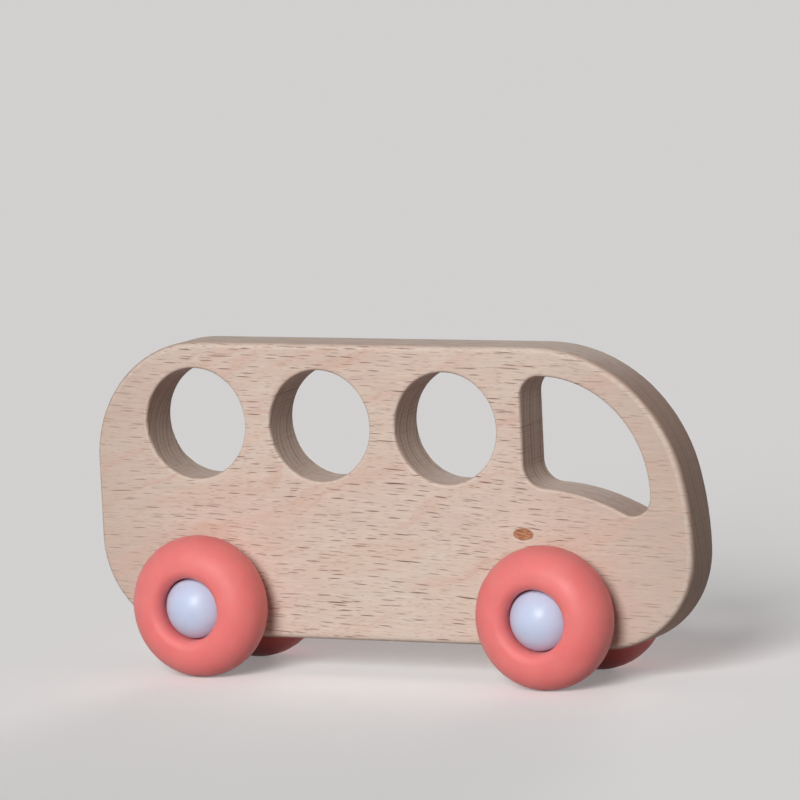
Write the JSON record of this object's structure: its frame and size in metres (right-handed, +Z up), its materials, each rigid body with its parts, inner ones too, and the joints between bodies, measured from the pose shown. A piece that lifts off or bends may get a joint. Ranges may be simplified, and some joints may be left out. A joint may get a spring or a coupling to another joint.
{
  "type": "toy bus",
  "caption": "Wooden push-along toy bus: a rounded board with window openings, on soft round-tread wheels with domed caps that turn freely on steel axles.",
  "frame": {"origin": "on the ground, under the middle of the board's length and thickness", "axes": "+X to the front of the bus, +Y to its left side, +Z up"},
  "size_m": [0.15, 0.043, 0.076],
  "materials": {
    "beech": "sanded beech, oiled, fine short flecks",
    "coral_silicone": "smooth matte silicone",
    "white_plastic": "moulded, glossy",
    "nylon": "natural nylon",
    "steel": "bright drawn rod",
    "spring_steel": "stamped spring steel"
  },
  "bodies": {
    "chassis": {"body": "beech", "front_right_bush": "nylon", "front_left_bush": "nylon", "rear_right_bush": "nylon", "rear_left_bush": "nylon"},
    "front_axle_set": {"front_axle": "steel", "front_right_push_nut": "spring_steel", "front_left_push_nut": "spring_steel", "front_right_cap": "white_plastic", "front_left_cap": "white_plastic"},
    "rear_axle_set": {"rear_axle": "steel", "rear_right_push_nut": "spring_steel", "rear_left_push_nut": "spring_steel", "rear_right_cap": "white_plastic", "rear_left_cap": "white_plastic"},
    "front_right_wheel": {"front_right_tyre": "coral_silicone", "front_right_hub": "white_plastic"},
    "front_left_wheel": {"front_left_tyre": "coral_silicone", "front_left_hub": "white_plastic"},
    "rear_right_wheel": {"rear_right_tyre": "coral_silicone", "rear_right_hub": "white_plastic"},
    "rear_left_wheel": {"rear_left_tyre": "coral_silicone", "rear_left_hub": "white_plastic"}
  },
  "joints": [
    {"name": "front_axle_spin", "type": "hinge", "parent": "chassis", "child": "front_axle_set", "pos_m": [0.0418, 0, 0.01625], "axis": [0, 1, 0], "continuous": true},
    {"name": "rear_axle_spin", "type": "hinge", "parent": "chassis", "child": "rear_axle_set", "pos_m": [-0.0455, 0, 0.01625], "axis": [0, 1, 0], "continuous": true},
    {"name": "front_right_wheel_spin", "type": "hinge", "parent": "front_axle_set", "child": "front_right_wheel", "pos_m": [0.0418, 0, 0.01625], "axis": [0, 1, 0], "continuous": true},
    {"name": "front_left_wheel_spin", "type": "hinge", "parent": "front_axle_set", "child": "front_left_wheel", "pos_m": [0.0418, 0, 0.01625], "axis": [0, 1, 0], "continuous": true},
    {"name": "rear_right_wheel_spin", "type": "hinge", "parent": "rear_axle_set", "child": "rear_right_wheel", "pos_m": [-0.0455, 0, 0.01625], "axis": [0, 1, 0], "continuous": true},
    {"name": "rear_left_wheel_spin", "type": "hinge", "parent": "rear_axle_set", "child": "rear_left_wheel", "pos_m": [-0.0455, 0, 0.01625], "axis": [0, 1, 0], "continuous": true}
  ]
}
